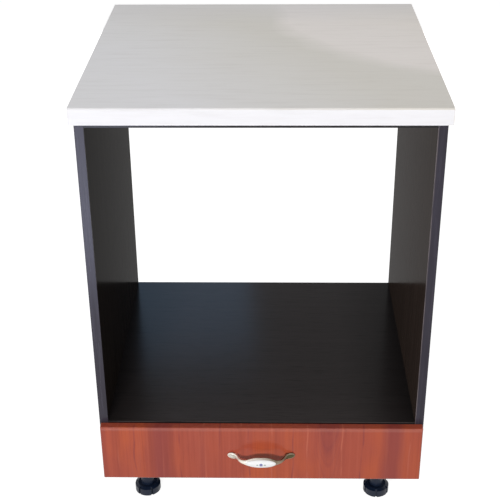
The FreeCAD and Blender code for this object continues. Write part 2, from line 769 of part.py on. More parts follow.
def make_handle(handle_drills):
    """A bow handle: a lofted strap with dished lobes on two posts, and an insert in its oval frame."""
    # Each station of the half bow: distance from the middle, stand-off from the front, height and thickness
    stations = [
        ("0", "bow_centre", "frame_height", "frame_thick"),
        ("frame_shoulder / 2", "bow_centre - frame_fall", "insert_height + frame_rim", "frame_thick"),
        ("frame_shoulder", "bow_centre - shoulder_fall", "shoulder_height", "shoulder_thick"),
        ("post_x - wing_inset", "bow_centre - wing_fall", "wing_height", "wing_thick"),
        ("post_x - neck_inset", "neck_stand_off", "neck_height", "neck_thick"),
        ("post_x - heel_inset", "heel_stand_off", "heel_height", "heel_thick"),
        ("post_x + lobe_root_reach", "lobe_root_stand_off", "lobe_root_height", "lobe_thick"),
        ("post_x + lobe_reach", "lobe_stand_off", "lobe_height", "lobe_thick"),
        ("post_x + tip_reach - tip_round", "tip_stand_off", "tip_shoulder_height", "tip_shoulder_thick"),
        ("post_x + tip_reach", "tip_stand_off", "tip_height", "tip_thick"),
    ]
    left_half = [(f"-({x})", off, tall, thick) for x, off, tall, thick in reversed(stations[1:])]
    whole = left_half + stations
    middles = [(value(x), -value(off)) for x, off, tall, thick in whole]
    sections = []
    for index, (x, off, tall, thick) in enumerate(whole):
        before, after = middles[max(index - 1, 0)], middles[min(index + 1, len(middles) - 1)]
        along = Vector(after[0] - before[0], after[1] - before[1], 0)
        up = Vector(0, 0, 1)
        section = document.addObject("Part::Ellipse", f"bow_section_{index + 1}")
        section.Placement.Rotation = FreeCAD.Rotation(up, along.cross(up), along, "ZXY")
        bind(section, MajorRadius=f"({tall}) / 2", MinorRadius=f"({thick}) / 2")
        sections.append(place(section, x, f"front_face - ({off})", "handle_z"))
    strap = document.addObject("Part::Loft", "bow_strap")
    strap.Sections = sections
    strap.Solid = True
    document.recompute()

    post = document.addObject("Part::Cylinder", "left_post")
    post.Placement.Rotation = FreeCAD.Rotation(Vector(0, 0, 1), Vector(0, -1, 0))
    bind(post, Radius="post_radius", Height="post_top")
    place(post, "-post_x", "front_face", "handle_z")
    bow = fused("bow_on_posts", strap, both_sides("posts", post))

    def oval(label, grow, start, length):
        """A flat oval block in front of the drawer, from a stand-off outwards."""
        rim = document.addObject("Part::Ellipse", label + "_rim")
        rim.Placement.Rotation = FreeCAD.Rotation(Vector(0, 0, 1), Vector(0, -1, 0))
        bind(rim, MajorRadius=f"insert_length / 2 + {grow}", MinorRadius=f"insert_height / 2 + {grow}")
        place(rim, "0", f"front_face - {start}", "handle_z")
        block = document.addObject("Part::Extrusion", label)
        block.Base = rim
        block.Dir = (0, -1, 0)
        block.DirMode = "Custom"
        block.Solid = True
        bind(block, LengthFwd=length)
        document.recompute()
        return block

    dish = document.addObject("Part::Ellipsoid", "left_dish")
    outwards = FreeCAD.Rotation(Vector(0, 0, 1), Vector(0, -1, 0))
    dish.Placement.Rotation = FreeCAD.Rotation(Vector(0, 0, 1), -value("dish_slope")) * outwards
    bind(dish, Radius1="dish_swell", Radius2="dish_length / 2", Radius3="dish_height / 2")
    lobe_face = "lobe_stand_off + lobe_thick / 2"
    place(dish, "-(post_x + dish_reach)", f"front_face - ({lobe_face} + dish_swell - dish_depth)", "handle_z")

    seat = oval("insert_pocket", "insert_clear", "insert_floor", "handle_reach")
    node(drilled("handle_bow", bow, seat, handle_drills, both_sides("lobe_dishes", dish)), "handle_bow")
    crown = document.addObject("Part::Ellipsoid", "insert_crown_dome")
    crown.Angle1 = 0
    crown.Placement.Rotation = FreeCAD.Rotation(Vector(0, 0, 1), Vector(0, -1, 0))
    bind(crown, Radius1="insert_crown", Radius2="insert_length / 2", Radius3="insert_height / 2")
    place(crown, "0", "front_face - insert_floor - insert_seat", "handle_z")
    document.recompute()
    foot = oval("insert_base", "0", "insert_floor", "insert_seat")
    node(fused("handle_insert", foot, crown), "handle_insert")


def make_feet(left_foot_drill):
    """Four screw feet: a ribbed socket under the bottom panel, and a notched base that screws into it."""
    plate = "foot_height - socket_plate_thick"
    socket = turned("foot_socket", [
        ("socket_bore", "socket_bottom"), ("socket_tube", "socket_bottom"), ("socket_tube", plate),
        ("socket_plate_radius", plate), ("socket_plate_radius", "foot_height"), ("0", "foot_height"),
        ("0", plate), ("socket_bore", plate)])
    rib_low, inside = f"{plate} - socket_rib_drop", "socket_tube - socket_wall / 2"
    rib_high, rib_far = f"{plate} + socket_plate_thick / 2", "socket_plate_radius - socket_rib_set_back"
    rib_outline = [(inside, rib_low), ("socket_tube", rib_low), (rib_far, plate), (rib_far, rib_high),
                   (inside, rib_high)]
    rib = socket.newObject("PartDesign::Pad", "rib")
    rib.Profile = outline(socket, "XZ_Plane", rib_outline)
    rib.Midplane = True
    bind(rib, Length="socket_rib_thick")
    document.recompute()
    polar(socket, rib, "socket_ribs")

    shoulder = "foot_base_height + foot_shoulder_rise"
    base = turned("foot", [
        ("0", "0"), ("foot_base_radius - foot_base_round", "0"), ("foot_base_radius", "foot_base_round"),
        ("foot_base_radius", "foot_base_height"), ("foot_shoulder_radius", shoulder),
        ("foot_stem_radius", shoulder), ("foot_stem_radius", "stem_top"), ("0", "stem_top")])
    inner, outer = "foot_base_radius - foot_notch_depth", "foot_base_radius + cut_run_out"
    half = "foot_notch_width / 2"
    notch_outline = [(inner, f"-{half}"), (outer, f"-{half}"), (outer, half), (inner, half)]
    notch = pocket(base, outline(base, "XY_Plane", notch_outline), shoulder, reverse=True)
    polar(base, notch, "foot_notches")

    for end, y in (("front", "foot_front_y"), ("rear", "foot_back_y")):
        left_socket = copies(f"left_{end}_socket_blank", socket, [("-foot_x", y, "0")])
        drilled_socket = drilled(f"left_{end}_foot_socket", left_socket, left_foot_drill)
        node(drilled_socket, f"left_{end}_foot_socket")
        node(mirrored(f"right_{end}_foot_socket", drilled_socket), f"right_{end}_foot_socket")
        for side, x in (("left", "-foot_x"), ("right", "foot_x")):
            foot = copies(f"{side}_{end}_foot", base, [(x, y, "0")], turn=f"{side}_foot_turn")
            node(foot, f"{side}_{end}_foot")


def build():
    """Models every piece of the cabinet."""
    make_sheets()
    short_screw, long_screw = Screw("short_screw"), Screw("long_screw")
    confirmat, carcass_drill = carcass_fasteners()
    runner_drill = runner_fasteners(short_screw)
    foot_drill = foot_fasteners()
    worktop_drill = worktop_fasteners(long_screw)
    make_carcass(carcass_drill, runner_drill, foot_drill, worktop_drill)
    make_edge_bands()
    make_worktop(worktop_drill)
    front_axle_drill, rear_axle_drill = make_rollers()
    make_runner_channels(runner_drill, front_axle_drill)
    make_drawer(confirmat, short_screw, long_screw, rear_axle_drill)
    make_feet(foot_drill)
    document.recompute()


def check():
    """Stops if any object failed or any piece is not a sound solid."""
    for item in document.Objects:
        if {"Invalid", "Error"} & set(item.State):
            raise RuntimeError(f"{item.Label} failed: {item.State}")
    for item in nodes:
        shape = item.Shape
        if shape.isNull() or not shape.isValid() or not shape.Solids:
            raise RuntimeError(f"{item.Label} has no sound solid")


def export():
    """Writes each piece to its own file."""
    os.makedirs("parts", exist_ok=True)
    for item in nodes:
        item.Shape.exportStep(f"parts/{item.Label}.step")
    print(len(nodes), "pieces written")


build()
check()
export()
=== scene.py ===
"""Looks of the oven housing cabinet: finishes, screw recesses, floor, light and camera.

Metres, in the model's own frame: +Z is up, the front faces -Y, and left and right are as seen from the front.
"""

import math
from collections import namedtuple
from functools import cache

import bmesh
import bpy
from mathutils import Matrix, Vector


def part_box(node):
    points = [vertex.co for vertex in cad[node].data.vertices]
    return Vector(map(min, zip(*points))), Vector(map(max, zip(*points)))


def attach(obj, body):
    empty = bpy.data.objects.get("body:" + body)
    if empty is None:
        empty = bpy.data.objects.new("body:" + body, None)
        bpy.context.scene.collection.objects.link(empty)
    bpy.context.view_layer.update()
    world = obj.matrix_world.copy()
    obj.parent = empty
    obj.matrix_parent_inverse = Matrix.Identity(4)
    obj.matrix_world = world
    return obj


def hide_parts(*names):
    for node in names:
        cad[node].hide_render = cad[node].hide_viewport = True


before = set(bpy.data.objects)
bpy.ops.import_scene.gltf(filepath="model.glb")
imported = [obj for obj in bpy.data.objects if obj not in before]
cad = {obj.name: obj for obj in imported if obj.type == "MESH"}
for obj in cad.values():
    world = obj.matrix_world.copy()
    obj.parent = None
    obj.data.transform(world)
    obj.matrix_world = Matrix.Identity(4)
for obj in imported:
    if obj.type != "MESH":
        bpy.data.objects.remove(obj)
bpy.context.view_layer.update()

X, Z = 0, 2
LEFT, RIGHT = Vector((-1, 0, 0)), Vector((1, 0, 0))
FRONT, BACK = Vector((0, -1, 0)), Vector((0, 1, 0))
DOWN, UP = Vector((0, 0, -1)), Vector((0, 0, 1))

# Ranges that hold most of a noise's values, and nearly all of them
MOST = (0.3, 0.7)
NEARLY_ALL = (0.2, 0.8)


def rgb(red, green, blue):
    """A colour with full opacity."""
    return (red, green, blue, 1.0)


def grey(level):
    """A colour with three equal parts."""
    return rgb(level, level, level)


def dimmed(colour, share):
    """A colour times a share."""
    return rgb(*(share * part for part in colour[:3]))


def evenly(cycles):
    """The same cycles to the metre along each axis."""
    return (cycles, cycles, cycles)


def grained(axis, across, lengthwise):
    """Cycles to the metre for each axis: lengthwise along the grain's axis, and across it."""
    return tuple(lengthwise if index == axis else across for index in range(3))


class Paint:
    """A procedural material: texture nodes before one surface shader, in the object's own coordinates."""

    def __init__(self, name):
        self.material = bpy.data.materials.new(name)
        self.material.use_nodes = True
        self.nodes = self.material.node_tree.nodes
        self.links = self.material.node_tree.links
        self.shader = self.nodes["Principled BSDF"]
        self.where = self.add("TexCoord", "Object")

    def feed(self, socket, value):
        """Links a socket to another node's output, or sets it to a plain value."""
        if isinstance(value, bpy.types.NodeSocket):
            self.links.new(value, socket)
        else:
            socket.default_value = value

    def add(self, kind, output=0, inputs=None, **settings):
        """Adds a node and returns one of its outputs."""
        node = self.nodes.new("ShaderNode" + kind)
        for name, value in settings.items():
            setattr(node, name, value)
        for name, value in (inputs or {}).items():
            self.feed(node.inputs[name], value)
        return node.outputs[output]

    def surface(self, **inputs):
        """Sets the surface shader's sockets, named in lower case with underscores."""
        sockets = {socket.name.lower().replace(" ", "_"): socket for socket in self.shader.inputs}
        for name, value in inputs.items():
            self.feed(sockets[name], value)
        return self.material

    def axes(self):
        """The x, y and z of the object's coordinates."""
        split = self.add("SeparateXYZ", 0, {"Vector": self.where}).node
        return split.outputs

    def stretched(self, scale):
        """Object coordinates multiplied by the cycles to the metre for each axis."""
        return self.add("Mapping", inputs={"Vector": self.where, "Scale": scale})

    def noise(self, scale, detail=3.0, rough=0.5, twist=0.0):
        """Cloudy noise between 0 and 1."""
        inputs = {"Vector": self.stretched(scale), "Scale": 1.0, "Detail": detail, "Roughness": rough,
                  "Distortion": twist}
        return self.add("TexNoise", "Fac", inputs)

    def cells(self, scale):
        """Random cells, each in a colour of its own."""
        return self.add("TexVoronoi", "Color", {"Vector": self.stretched(scale), "Scale": 1.0})

    def calc(self, operation, first, second=0.0):
        """One sum on two values."""
        return self.add("Math", 0, {0: first, 1: second}, operation=operation)

    def spread(self, value, low, high, to_low=0.0, to_high=1.0):
        """A value's range mapped on another range, clamped."""
        inputs = {"Value": value, "From Min": low, "From Max": high, "To Min": to_low, "To Max": to_high}
        return self.add("MapRange", 0, inputs)

    def off(self, value, place):
        """How far a value lies from a place, on either side."""
        return self.calc("ABSOLUTE", self.calc("SUBTRACT", value, place))

    def scaled(self, value, middle, half):
        """Where a value lies from a middle, counted in halves of a size."""
        return self.calc("DIVIDE", self.calc("SUBTRACT", value, middle), half)

    def square(self, value):
        """A value times itself."""
        return self.calc("MULTIPLY", value, value)

    def spot(self, centre, half_across, half_up, core):
        """A soft-edged oval seen from the front: 1 up to a squared distance, its core, and 0 outside it."""
        across, _, height = self.axes()
        aside = self.scaled(across, centre[0], half_across)
        above = self.scaled(height, centre[1], half_up)
        return self.spread(self.calc("ADD", self.square(aside), self.square(above)), 1.0, core)

    def blend(self, share, first, second, kind="MIX"):
        """Two colours blended."""
        colour_first, colour_second, colour_result = 6, 7, 2
        inputs = {0: share, colour_first: first, colour_second: second}
        return self.add("Mix", colour_result, inputs, data_type="RGBA", blend_type=kind)

    def ramp(self, value, *stops):
        """Colours along a value: (position, colour) pairs."""
        output = self.add("ValToRGB", 0, {"Fac": value})
        elements = output.node.color_ramp.elements
        for index, (position, colour) in enumerate(stops):
            element = elements[index] if index < 2 else elements.new(position)
            element.position = position
            element.color = colour
        return output

    def between(self, value, first, second, reach=MOST):
        """Two colours along a range of a value."""
        low, high = reach
        return self.ramp(value, (low, first), (high, second))

    def bump(self, height, depth, strength):
        """A surface normal from a height."""
        return self.add("Bump", 0, {"Height": height, "Distance": depth, "Strength": strength})


# Painted shade for a contact shadow at a board's ends: its axis, how far from the middle it starts and ends,
# and its share of black
PaintedShade = namedtuple("PaintedShade", "axis start end share")

# Painted highlight along an arris of a band, for light caught by its rounding: its axis, its place on that
# axis, its width and its colour
ArrisHighlight = namedtuple("ArrisHighlight", "axis place width pale")


def dark_laminate(name, grain, colour, sheen, gloss_rough, contrast=0.2, shade=None):
    """Black-brown woodgrain laminate, its grain along one axis. It may carry painted shade towards its ends.
    """
    paint = Paint(name)
    figure = paint.noise(grained(grain, across=70, lengthwise=1.6), detail=5, rough=0.6, twist=0.4)
    pores = paint.noise(grained(grain, across=900, lengthwise=22), detail=2)
    dark, light = dimmed(colour, 1 - contrast), dimmed(colour, 1 + contrast)
    tone = paint.between(figure, dark, light, reach=(0.25, 0.75))
    pore_black = rgb(0.006, 0.005, 0.0046)
    in_pores = paint.spread(pores, 0.55, 0.75, to_high=0.5)
    tone = paint.blend(in_pores, tone, pore_black)
    # Painted shade: darker towards both ends of the board, standing in for a contact shadow
    if shade:
        off_middle = paint.off(paint.axes()[shade.axis], 0.0)
        shaded = paint.spread(off_middle, shade.start, shade.end, to_high=shade.share)
        tone = paint.blend(shaded, tone, grey(0))
    rough = paint.spread(figure, *NEARLY_ALL, gloss_rough - 0.02, gloss_rough + 0.03)
    return paint.surface(base_color=tone, roughness=rough, specular_ior_level=sheen,
                         normal=paint.bump(pores, depth=0.00005, strength=0.4))


def dark_edge_band(name, grain, dark, light, sheen, arris=None):
    """Thin plastic band in the laminate's colour, its grain along the band. One arris may carry a painted
    highlight.
    """
    paint = Paint(name)
    figure = paint.noise(grained(grain, across=160, lengthwise=9), detail=4, rough=0.6)
    colour = paint.between(figure, dark, light)
    if arris:
        # Painted highlight: a broken pale line along one arris, for light caught by its rounding
        off_arris = paint.off(paint.axes()[arris.axis], arris.place)
        patches = paint.noise(grained(grain, across=200, lengthwise=16), detail=3)
        broken = paint.spread(patches, 0.34, 0.52, 0.35, 1.0)
        painted_highlight = paint.calc("MULTIPLY", paint.spread(off_arris, arris.width, 0.7 * arris.width), broken)
        colour = paint.blend(painted_highlight, colour, arris.pale)
    rough = paint.spread(figure, *NEARLY_ALL, 0.22, 0.30)
    return paint.surface(base_color=colour, roughness=rough, specular_ior_level=sheen)


@cache
def chipboard():
    """The raw edge of chipboard: flat pressed flakes of several sizes."""
    paint = Paint("chipboard")
    flakes = paint.cells(grained(Z, across=260, lengthwise=620))
    chips = paint.cells(grained(Z, across=700, lengthwise=1500))
    tone = paint.add("RGBToBW", 0, {"Color": paint.blend(0.45, flakes, chips)})
    dark, middling, pale = rgb(0.17, 0.105, 0.055), rgb(0.36, 0.25, 0.14), rgb(0.52, 0.40, 0.25)
    colour = paint.ramp(tone, (0.15, dark), (0.45, middling), (0.8, pale))
    return paint.surface(base_color=colour, roughness=0.85, specular_ior_level=0.2,
                         normal=paint.bump(tone, depth=0.0006, strength=0.7))


# Painted reflection of the room in the worktop's tone: a slant over the top, a curve round the right back
# corner, and painted shade at the back
REFLECTION_SLANT = 0.54
REFLECTION_RANGE = (-0.28, 0.08)
REFLECTION_SWAY = 0.035
CURVE_ASIDE, CURVE_AHEAD = 0.09, 0.26
WARM_RANGE, TAN_RANGE = (0.046, 0.064), (0.10, 0.20)
PAINTED_SHADE_BACK = (0.17, 0.30)


def worktop_drift(paint, cool, dull, warm, tan, shaded):
    """Painted reflection in close tones: cool to dull slantwise, warm and tan beyond a curve, painted shade
    behind.
    """
    across, depth, _ = paint.axes()
    clouds = paint.noise(evenly(4.5), detail=3, rough=0.5)
    sway = paint.spread(clouds, *MOST, -REFLECTION_SWAY, REFLECTION_SWAY)
    slant = paint.calc("ADD", across, paint.calc("MULTIPLY", depth, REFLECTION_SLANT))
    colour = paint.blend(paint.spread(paint.calc("ADD", slant, sway), *REFLECTION_RANGE), cool, dull)
    swayed = paint.calc("ADD", across, paint.calc("ADD", sway, CURVE_ASIDE))
    curve = paint.calc("MULTIPLY", swayed, paint.calc("ADD", depth, CURVE_AHEAD))
    for reach, tint in ((WARM_RANGE, warm), (TAN_RANGE, tan)):
        colour = paint.blend(paint.spread(curve, *reach), colour, tint)
    return paint.blend(paint.spread(depth, *PAINTED_SHADE_BACK, to_high=0.6), colour, shaded)


def worktop_laminate(name, **reflection_tones):
    """Pale laminate: the tones of a painted reflection under broad strokes and short fine streaks across the
    width.
    """
    paint = Paint(name)
    strokes = paint.noise(grained(X, across=85, lengthwise=9), detail=3, rough=0.6)
    brushed = paint.ramp(strokes, (0.28, rgb(0.95, 0.945, 0.94)), (0.46, grey(1)), (0.72, grey(1.02)))
    streaks = paint.noise(grained(X, across=260, lengthwise=26), detail=3, rough=0.6)
    threads = paint.noise(grained(X, across=700, lengthwise=40), detail=2)
    fine = paint.calc("ADD", paint.calc("MULTIPLY", streaks, 0.7), paint.calc("MULTIPLY", threads, 0.3))
    combed = paint.ramp(fine, (0.34, rgb(0.965, 0.96, 0.955)), (0.5, grey(0.985)), (0.66, grey(0.995)))
    colour = paint.blend(1.0, worktop_drift(paint, **reflection_tones), brushed, "MULTIPLY")
    colour = paint.blend(1.0, colour, combed, "MULTIPLY")
    rough = paint.spread(streaks, *NEARLY_ALL, 0.38, 0.5)
    return paint.surface(base_color=colour, roughness=rough, specular_ior_level=0.3,
                         normal=paint.bump(streaks, depth=0.00008, strength=0.5))


# Figure of the cherry foil, by places across the front: broad dark bands, thin lines, and one arch
DARK_BANDS = ((-0.183, 0.032), (0.247, 0.026))
DARK_LINES = (-0.232, -0.150, -0.078, -0.025, 0.062, 0.190)
LIGHT_LINES = (-0.262, -0.105, -0.040, 0.020, 0.090, 0.152, 0.278)
LINE_HALF = 0.0022
FOIL_SWAY = 0.006
ARCH_MIDDLE = 0.128
ARCH_HALF = 0.020
ARCH_LENGTH = 0.075
ARCH_RINGS = 4.0

# How far below the upper edge the painted highlight on its rounding begins and is full
HIGHLIGHT_RANGE = (0.0080, 0.0040)

# Colours of the cherry foil
CHERRY_DEEP = rgb(0.355, 0.068, 0.041)
CHERRY = rgb(0.385, 0.074, 0.040)
CHERRY_WARM = rgb(0.450, 0.088, 0.034)
CHERRY_PURPLE = rgb(0.245, 0.045, 0.040)
CHERRY_BROWN = rgb(0.205, 0.034, 0.022)
CHERRY_PALE = rgb(0.49, 0.125, 0.072)
CHERRY_PORE = rgb(0.17, 0.028, 0.015)
# Colour of the painted highlight on the rounded upper edge
CHERRY_HIGHLIGHT = rgb(0.58, 0.35, 0.30)


def foil_lines(paint, colour, across):
    """Broad bands of darker wood, and thin broken lines, dark and light."""
    for middle, half in DARK_BANDS:
        band = paint.spread(paint.off(across, middle), half, 0.3 * half, to_high=0.75)
        colour = paint.blend(band, colour, CHERRY_PURPLE)
    gaps = paint.noise(grained(Z, across=60, lengthwise=14), detail=2)
    broken = paint.spread(gaps, 0.40, 0.58)
    for places, tint, share in ((DARK_LINES, CHERRY_PURPLE, 0.75), (LIGHT_LINES, CHERRY_PALE, 0.7)):
        for middle in places:
            line = paint.spread(paint.off(across, middle), LINE_HALF, 0.2 * LINE_HALF, to_high=share)
            colour = paint.blend(paint.calc("MULTIPLY", line, broken), colour, tint)
    return colour


def foil_arch(paint, colour, across, fall):
    """One arch of darker wood that hangs from the upper edge, with fainter rings round it."""
    aside = paint.scaled(across, ARCH_MIDDLE, ARCH_HALF)
    arch = paint.calc("ADD", paint.square(aside), paint.calc("DIVIDE", fall, ARCH_LENGTH))
    colour = paint.blend(paint.spread(arch, 1.1, 0.7, to_high=0.5), colour, CHERRY_PURPLE)
    waves = paint.calc("SINE", paint.calc("MULTIPLY", arch, ARCH_RINGS * math.pi))
    near = paint.spread(arch, 3.5, 0.5)
    rings = paint.calc("MULTIPLY", paint.spread(waves, 0.2, 1.0, to_high=0.35), near)
    return paint.blend(rings, colour, CHERRY_PURPLE)


def foil_streaks(paint, colour, across, streaks):
    """Bands and short streaks of darker and paler wood, busier towards the left."""
    bands = paint.noise(grained(Z, across=50, lengthwise=1.5), detail=3, rough=0.55)
    busy = paint.spread(across, 0.20, -0.02, 0.45, 1.0)
    marks = ((bands, (0.5, 0.68), 0.38, CHERRY_PURPLE),
             (streaks, (0.5, 0.72), 0.42, CHERRY_BROWN),
             (streaks, (0.44, 0.26), 0.40, CHERRY_PALE))
    for figure, reach, share, tint in marks:
        mark = paint.calc("MULTIPLY", paint.spread(figure, *reach, to_high=share), busy)
        colour = paint.blend(mark, colour, tint)
    return colour


def cherry_foil(name, sheen, edge_highlight):
    """Cherry woodgrain foil: upright grain with lines, an arch, streaks, pores and a painted highlight on the
    rounded upper edge.
    """
    paint = Paint(name)
    across, _, height = paint.axes()
    sway = paint.spread(paint.noise(evenly(5), detail=2), *MOST, -FOIL_SWAY, FOIL_SWAY)
    across = paint.calc("ADD", across, sway)
    fall = paint.calc("SUBTRACT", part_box("drawer_front")[1].z, height)
    clouds = paint.noise(grained(Z, across=12, lengthwise=5), detail=3)
    streaks = paint.noise(grained(Z, across=150, lengthwise=2.5), detail=4, rough=0.62)
    pores = paint.noise(grained(Z, across=850, lengthwise=16), detail=2)
    colour = paint.ramp(clouds, (0.30, CHERRY_DEEP), (0.5, CHERRY), (0.68, CHERRY_WARM))
    colour = foil_lines(paint, colour, across)
    colour = foil_arch(paint, colour, across, fall)
    colour = foil_streaks(paint, colour, across, streaks)
    in_pores = paint.spread(pores, 0.6, 0.78, to_high=0.4)
    colour = paint.blend(in_pores, colour, CHERRY_PORE)
    # Painted highlight: a paler band along the rounded upper edge, where light catches it
    painted_highlight = paint.spread(fall, *HIGHLIGHT_RANGE, to_high=edge_highlight)
    colour = paint.blend(painted_highlight, colour, CHERRY_HIGHLIGHT)
    rough = paint.spread(streaks, *MOST, 0.19, 0.27)
    return paint.surface(base_color=colour, roughness=rough, specular_ior_level=sheen,
                         normal=paint.bump(pores, depth=0.00005, strength=0.4))


@cache
def white_melamine():
    """White melamine board with a faint pearl."""
    paint = Paint("white_melamine")
    pearl = paint.noise(evenly(1400), detail=2)
    shade = paint.noise(evenly(14), detail=3)
    colour = paint.between(shade, rgb(0.66, 0.65, 0.62), rgb(0.71, 0.70, 0.67))
    return paint.surface(base_color=colour, roughness=paint.spread(shade, *MOST, 0.42, 0.5),
                         specular_ior_level=0.4, normal=paint.bump(pearl, depth=0.00005, strength=0.4))


def hardboard():
    """Brown hardboard with pressed fibres."""
    paint = Paint("hardboard")
    fibres = paint.noise(evenly(420), detail=5, rough=0.7)
    blotches = paint.noise(evenly(30), detail=3)
    dark, light, blotch = rgb(0.16, 0.088, 0.045), rgb(0.27, 0.165, 0.09), rgb(0.14, 0.075, 0.04)
    colour = paint.between(fibres, dark, light)
    in_blotches = paint.spread(blotches, 0.4, 0.7, to_high=0.3)
    colour = paint.blend(in_blotches, colour, blotch)
    return paint.surface(base_color=colour, roughness=0.7, specular_ior_level=0.3,
                         normal=paint.bump(fibres, depth=0.0002, strength=0.6))


def metal(name, colour, rough, patch_cycles):
    """Bare or plated metal with a slightly uneven finish."""
    paint = Paint(name)
    patches = paint.noise(evenly(patch_cycles), detail=4, rough=0.6)
    return paint.surface(base_color=paint.between(patches, dimmed(colour, 0.75), colour), metallic=1.0,
                         roughness=paint.spread(patches, *MOST, rough - 0.05, rough + 0.08))


@cache
def zinc_steel():
    """Zinc plating on screws and nails."""
    return metal("zinc_steel", rgb(0.62, 0.63, 0.64), rough=0.3, patch_cycles=300)


def plastic(name, colour, rough, sheen=0.5):
    """Moulded plastic with a fine matt texture."""
    paint = Paint(name)
    texture = paint.noise(evenly(1800), detail=2)
    shade = paint.noise(evenly(60), detail=2)
    return paint.surface(base_color=paint.between(shade, dimmed(colour, 0.8), colour),
                         roughness=paint.spread(shade, *MOST, rough - 0.04, rough + 0.05),
                         specular_ior_level=sheen, normal=paint.bump(texture, depth=0.00006, strength=0.35))


def coated_steel():
    """Runner steel under a pale baked coating with an orange-peel skin."""
    paint = Paint("coated_steel")
    peel = paint.noise(evenly(700), detail=2)
    shade = paint.noise(evenly(25), detail=3)
    colour = paint.between(shade, rgb(0.62, 0.61, 0.57), rgb(0.68, 0.67, 0.63))
    return paint.surface(base_color=colour, roughness=paint.spread(peel, *MOST, 0.3, 0.42),
                         normal=paint.bump(peel, depth=0.00015, strength=0.5))


def handle_middle():
    """The place across and the height of the middle of the handle."""
    low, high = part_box("handle_insert")
    return (low.x + high.x) / 2, (low.z + high.z) / 2


# Lobes of the bow handle: their reach from its middle, the halves of their dishes, and each side's patina,
# deepened on the right by painted shade
LOBE_REACH = 0.0535
LOBE_LONG, LOBE_TALL = 0.0090, 0.0042
LOBE_PATINA_AND_SHADE = {-1: 0.40, 1: 0.95}


def antique_bronze():
    """Bronze with an olive patina in its lobes' dishes, deepened into painted shade in the right lobe, and a
    painted highlight towards the left.
    """
    paint = Paint("antique_bronze")
    wear = paint.noise(evenly(160), detail=5, rough=0.65)
    bright, olive = rgb(0.86, 0.81, 0.72), rgb(0.085, 0.078, 0.036)
    colour = paint.between(wear, rgb(0.17, 0.125, 0.080), rgb(0.29, 0.235, 0.175))
    middle, middle_height = handle_middle()
    # Painted highlight: brighter towards the left, where the strap and lobe catch more light
    highlight_half = 0.5 * LOBE_REACH
    painted_highlight = paint.spread(paint.axes()[X], middle + highlight_half, middle - highlight_half, to_high=0.95)
    colour = paint.blend(painted_highlight, colour, bright)
    # Patina in the dishes, its share on the right raised by painted shade
    for side, patina_and_shade in LOBE_PATINA_AND_SHADE.items():
        dish = paint.spot((middle + side * LOBE_REACH, middle_height), LOBE_LONG, LOBE_TALL, core=0.72)
        colour = paint.blend(paint.calc("MULTIPLY", dish, patina_and_shade), colour, olive)
    return paint.surface(base_color=colour, metallic=1.0, roughness=paint.spread(wear, *MOST, 0.28, 0.38))


# Small flower on the insert: petals round an eye, the first a quarter turn from the right, and two leaves
PETALS = 5
FIRST_PETAL = 0.25
PETAL_REACH, PETAL_SIZE, EYE_SIZE = 0.0019, 0.0015, 0.0009
LEAF_REACH, LEAF_LONG, LEAF_TALL = 0.0068, 0.0024, 0.0009


def porcelain():
    """White glazed porcelain with a small blue flower."""
    paint = Paint("porcelain")
    green, blue, yellow = rgb(0.17, 0.26, 0.22), rgb(0.10, 0.13, 0.42), rgb(0.62, 0.50, 0.22)
    glaze = paint.noise(evenly(90), detail=2)
    colour = paint.between(glaze, rgb(0.84, 0.85, 0.855), rgb(0.87, 0.88, 0.885))
    middle, height = handle_middle()
    for side in (-1, 1):
        leaf = paint.spot((middle + side * LEAF_REACH, height), LEAF_LONG, LEAF_TALL, core=0.8)
        colour = paint.blend(leaf, colour, green)
    for index in range(PETALS):
        turn = math.tau * (index / PETALS + FIRST_PETAL)
        centre = (middle + PETAL_REACH * math.cos(turn), height + PETAL_REACH * math.sin(turn))
        petal = paint.spot(centre, PETAL_SIZE, PETAL_SIZE, core=0.8)
        colour = paint.blend(petal, colour, blue)
    eye = paint.spot((middle, height), EYE_SIZE, EYE_SIZE, core=0.7)
    colour = paint.blend(eye, colour, yellow)
    return paint.surface(base_color=colour, roughness=paint.spread(glaze, *MOST, 0.08, 0.14))


# A face looks in a direction where the cosine between them is above this
ALIGNED = 0.9


def dress(names, main, faces=()):
    """Gives CAD nodes their material, and other materials to the faces that look in given directions."""
    for name in names:
        mesh = cad[name].data
        mesh.materials.clear()
        mesh.materials.append(main)
        for polygon in mesh.polygons:
            polygon.material_index = 0
        for index, (direction, material) in enumerate(faces, 1):
            mesh.materials.append(material)
            for polygon in mesh.polygons:
                if polygon.normal.dot(direction) > ALIGNED:
                    polygon.material_index = index


def both(pattern):
    """The left and right names of a piece."""
    return [pattern.format(side) for side in ("left", "right")]


def corners(pattern):
    """The four names of a piece that stands at each corner."""
    return [pattern.format(side, end) for side in ("left", "right") for end in ("front", "rear")]


def dress_boards():
    """Side panels, shelf, bottom and top rails, with raw chipboard on the edges that have no band. The level
    boards are a copy of the laminate painted lighter, as if lit more, and the insides a copy painted a little
    darker, as painted shade.
    """
    raw = chipboard()
    outside = dark_laminate("dark_laminate_outside", Z, (0.0260, 0.0195, 0.0170), sheen=0.06,
                            gloss_rough=0.42)
    inside = dark_laminate("dark_laminate_inside", Z, (0.0230, 0.0180, 0.0155), sheen=0.00045,
                           gloss_rough=0.16)
    level = dark_laminate("dark_laminate_level", X, (0.0430, 0.0356, 0.0346), sheen=0.032, gloss_rough=0.2,
                          contrast=0.07, shade=PaintedShade(axis=X, start=0.16, end=0.28, share=0.60))
    raw_ends = [(BACK, raw), (UP, raw), (DOWN, raw)]
    dress(["left_side_panel"], outside, [(RIGHT, inside), *raw_ends])
    dress(["right_side_panel"], outside, [(LEFT, inside), *raw_ends])
    dress(["bottom_panel", "oven_shelf", "front_top_rail", "rear_top_rail"], level,
          [(BACK, raw), (FRONT, raw), (LEFT, raw), (RIGHT, raw)])


